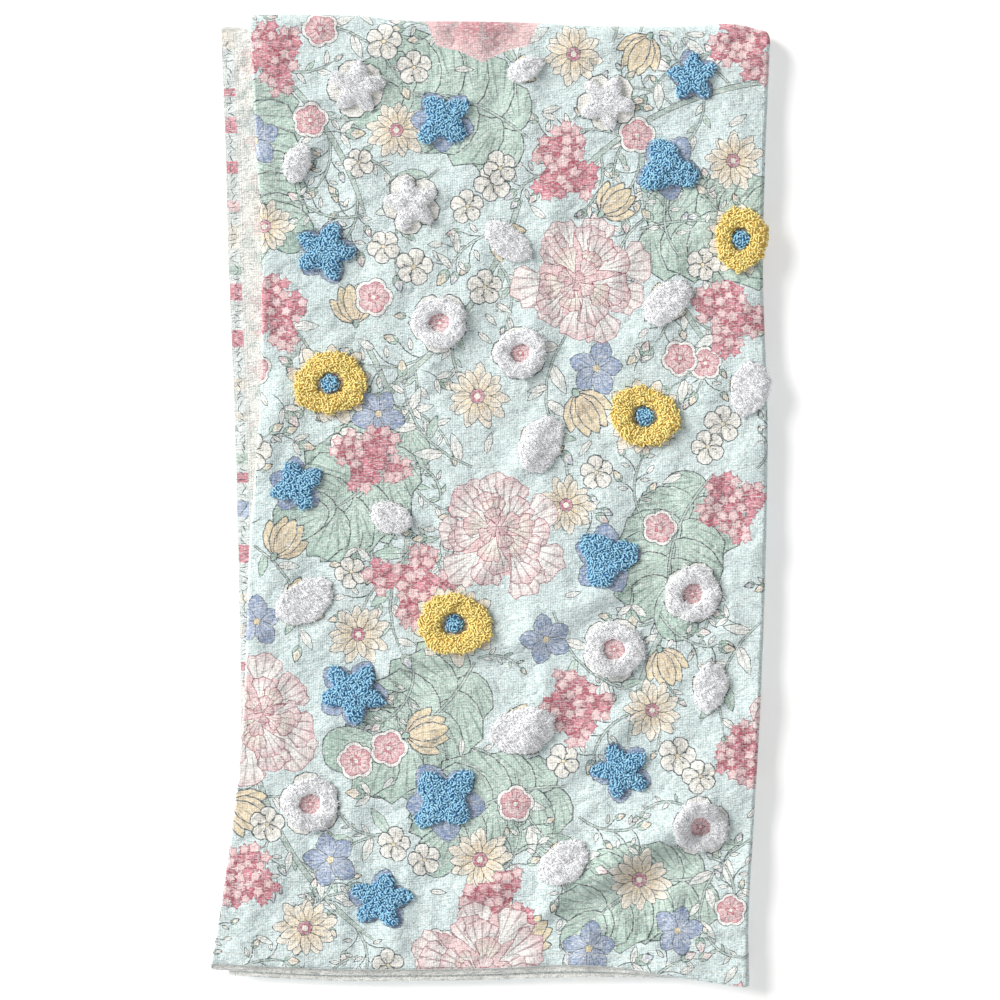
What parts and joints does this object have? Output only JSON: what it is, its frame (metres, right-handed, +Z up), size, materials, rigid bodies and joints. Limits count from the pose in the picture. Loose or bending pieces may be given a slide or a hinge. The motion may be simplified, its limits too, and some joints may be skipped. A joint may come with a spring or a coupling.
{
  "type": "textured throw",
  "caption": "Soft cotton throw folded into a flat rectangular stack, with a botanical print and raised tufted flowers on its upper panel.",
  "frame": {"origin": "bottom centre of the bounding box, on the surface that the folded throw lies on", "axes": "+Z up; +X across the folded throw towards its rounded fold; +Y along it, from its open hems to its half fold"},
  "size_m": [0.4434, 0.769, 0.0254],
  "materials": {
    "printed_cloth": "matte slub weave with a botanical print",
    "white_yarn": "fluffy tufted pile",
    "blue_yarn": "looped tufted pile",
    "yellow_yarn": "looped tufted pile"
  },
  "bodies": {
    "root": {"throw_cloth": "printed_cloth", "tuft_blue_centre_1": "blue_yarn", "tuft_blue_centre_2": "blue_yarn", "tuft_blue_centre_3": "blue_yarn", "tuft_blue_centre_4": "blue_yarn", "tuft_blue_star_1": "blue_yarn", "tuft_blue_star_10": "blue_yarn", "tuft_blue_star_2": "blue_yarn", "tuft_blue_star_3": "blue_yarn", "tuft_blue_star_4": "blue_yarn", "tuft_blue_star_5": "blue_yarn", "tuft_blue_star_6": "blue_yarn", "tuft_blue_star_7": "blue_yarn", "tuft_blue_star_8": "blue_yarn", "tuft_blue_star_9": "blue_yarn", "tuft_white_oval_1": "white_yarn", "tuft_white_oval_10": "white_yarn", "tuft_white_oval_11": "white_yarn", "tuft_white_oval_2": "white_yarn", "tuft_white_oval_3": "white_yarn", "tuft_white_oval_4": "white_yarn", "tuft_white_oval_5": "white_yarn", "tuft_white_oval_6": "white_yarn", "tuft_white_oval_7": "white_yarn", "tuft_white_oval_8": "white_yarn", "tuft_white_oval_9": "white_yarn", "tuft_white_ring_1": "white_yarn", "tuft_white_ring_2": "white_yarn", "tuft_white_ring_3": "white_yarn", "tuft_white_ring_4": "white_yarn", "tuft_white_ring_5": "white_yarn", "tuft_white_ring_6": "white_yarn", "tuft_white_star_1": "white_yarn", "tuft_white_star_2": "white_yarn", "tuft_white_star_3": "white_yarn", "tuft_yellow_ring_1": "yellow_yarn", "tuft_yellow_ring_2": "yellow_yarn", "tuft_yellow_ring_3": "yellow_yarn", "tuft_yellow_ring_4": "yellow_yarn"}
  },
  "joints": []
}
